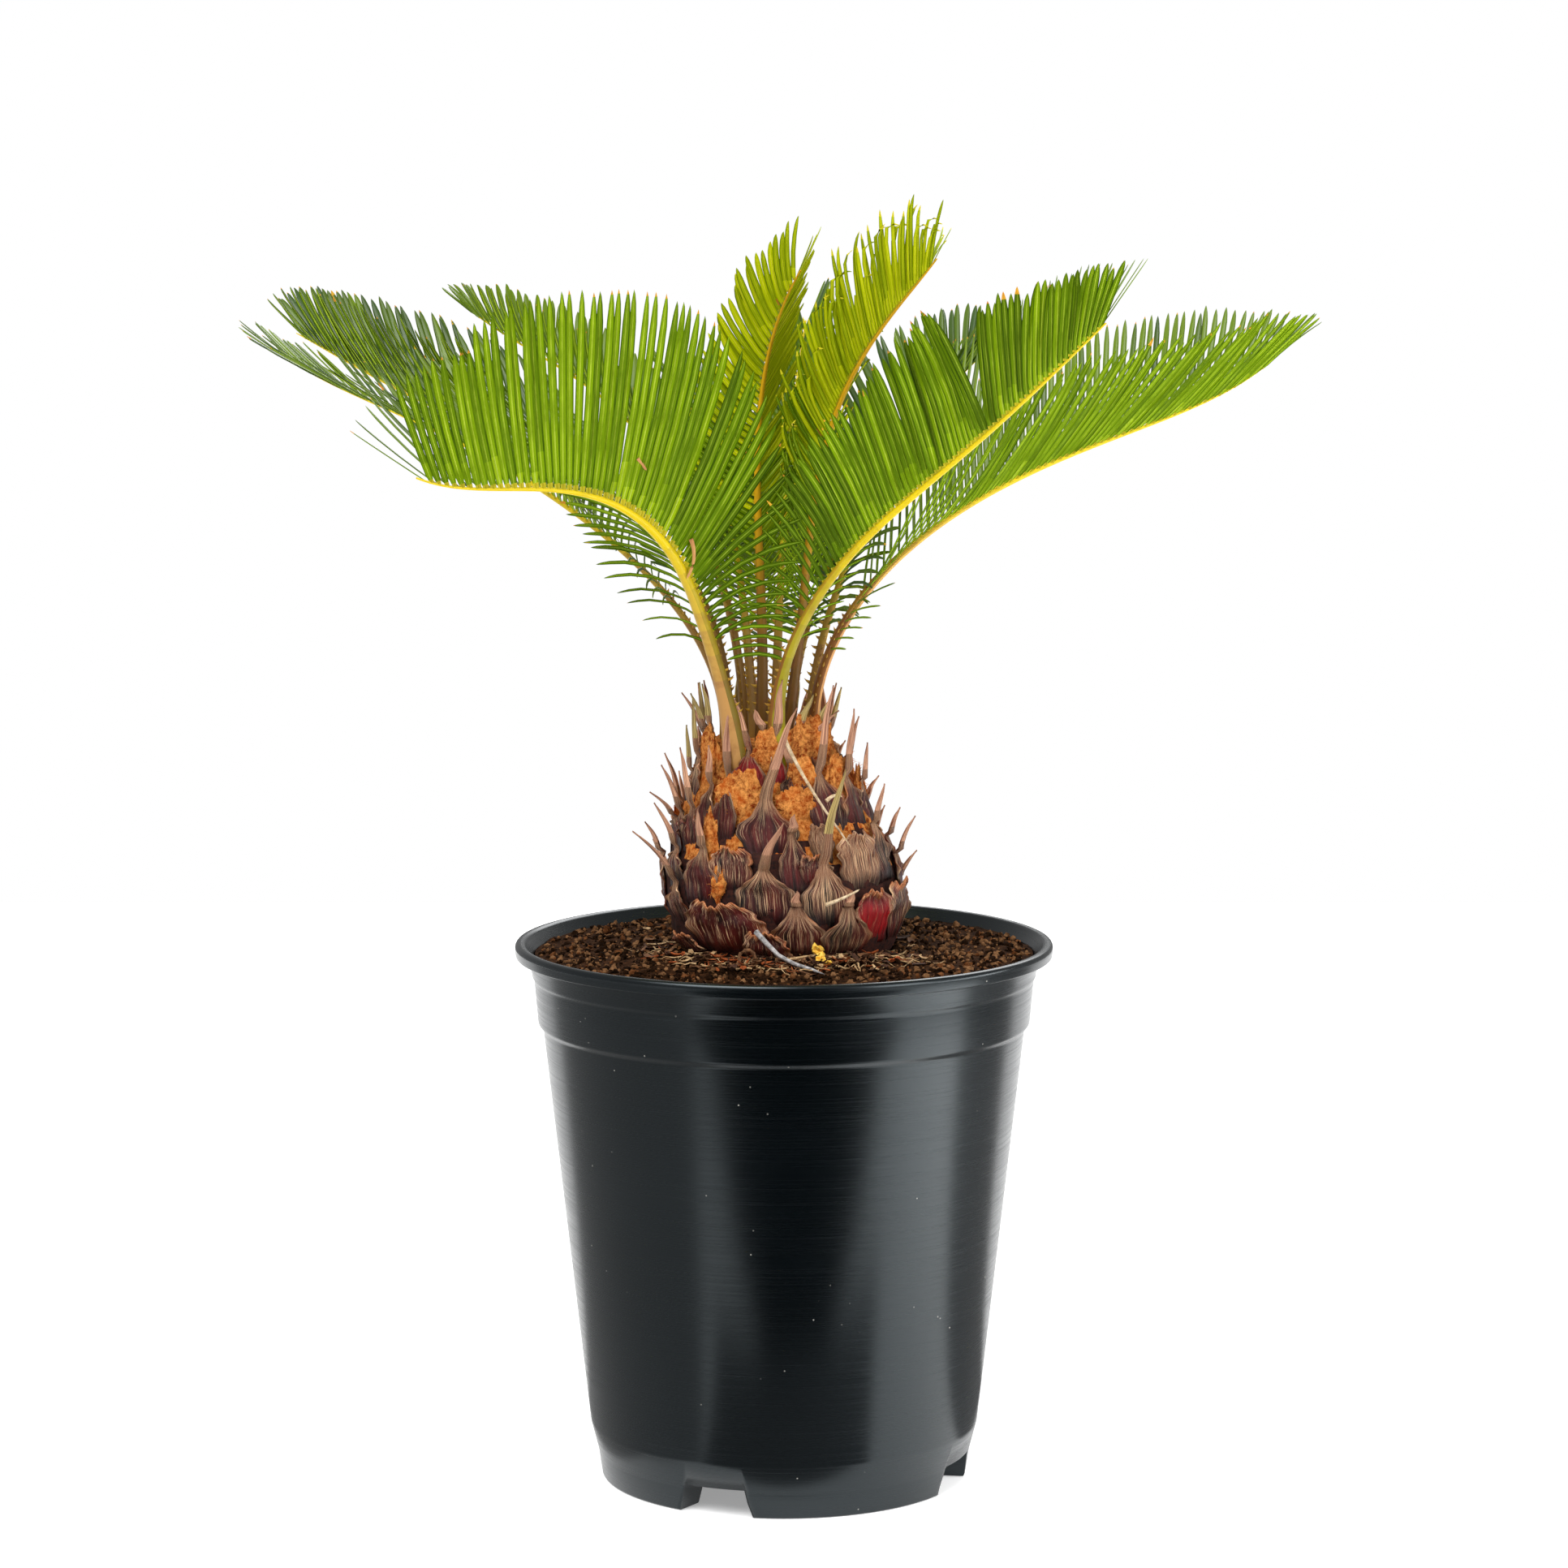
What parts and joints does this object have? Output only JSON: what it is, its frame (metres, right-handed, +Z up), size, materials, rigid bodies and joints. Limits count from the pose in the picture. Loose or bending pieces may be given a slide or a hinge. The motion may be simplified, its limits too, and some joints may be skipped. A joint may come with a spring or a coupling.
{
  "type": "potted sago palm",
  "caption": "Young sago palm with a scaly swollen trunk and arching feather fronds, growing in a round ribbed nursery pot on feet.",
  "frame": {"origin": "on the ground under the middle of the pot, which is also the middle of the plant's box seen from above to within a few millimetres", "axes": "+Z up along the pot's axis; the picture's viewer stands on the -Y side and looks along +Y, with +X to the right"},
  "size_m": [0.4251, 0.2768, 0.5109],
  "materials": {
    "pot_plastic": "black moulded plastic, satin, fine sideways scratches",
    "soil": "dark brown peat crumbs, matt",
    "caudex": "dry purple-brown leaf bases with tan streaks and orange wool",
    "frond": "leathery green leaflets on a yellow rib, slightly glossy"
  },
  "bodies": {
    "root": {"pot": "pot_plastic", "soil": "soil", "caudex": "caudex", "frond_front_left": "frond", "frond_front_right": "frond", "frond_right": "frond", "frond_left": "frond", "frond_left_back": "frond", "frond_back_left": "frond", "frond_heart_front": "frond", "frond_heart_right": "frond", "frond_back_right": "frond", "frond_heart_back": "frond", "frond_heart_left": "frond", "frond_back": "frond", "frond_back_middle": "frond"}
  },
  "joints": []
}
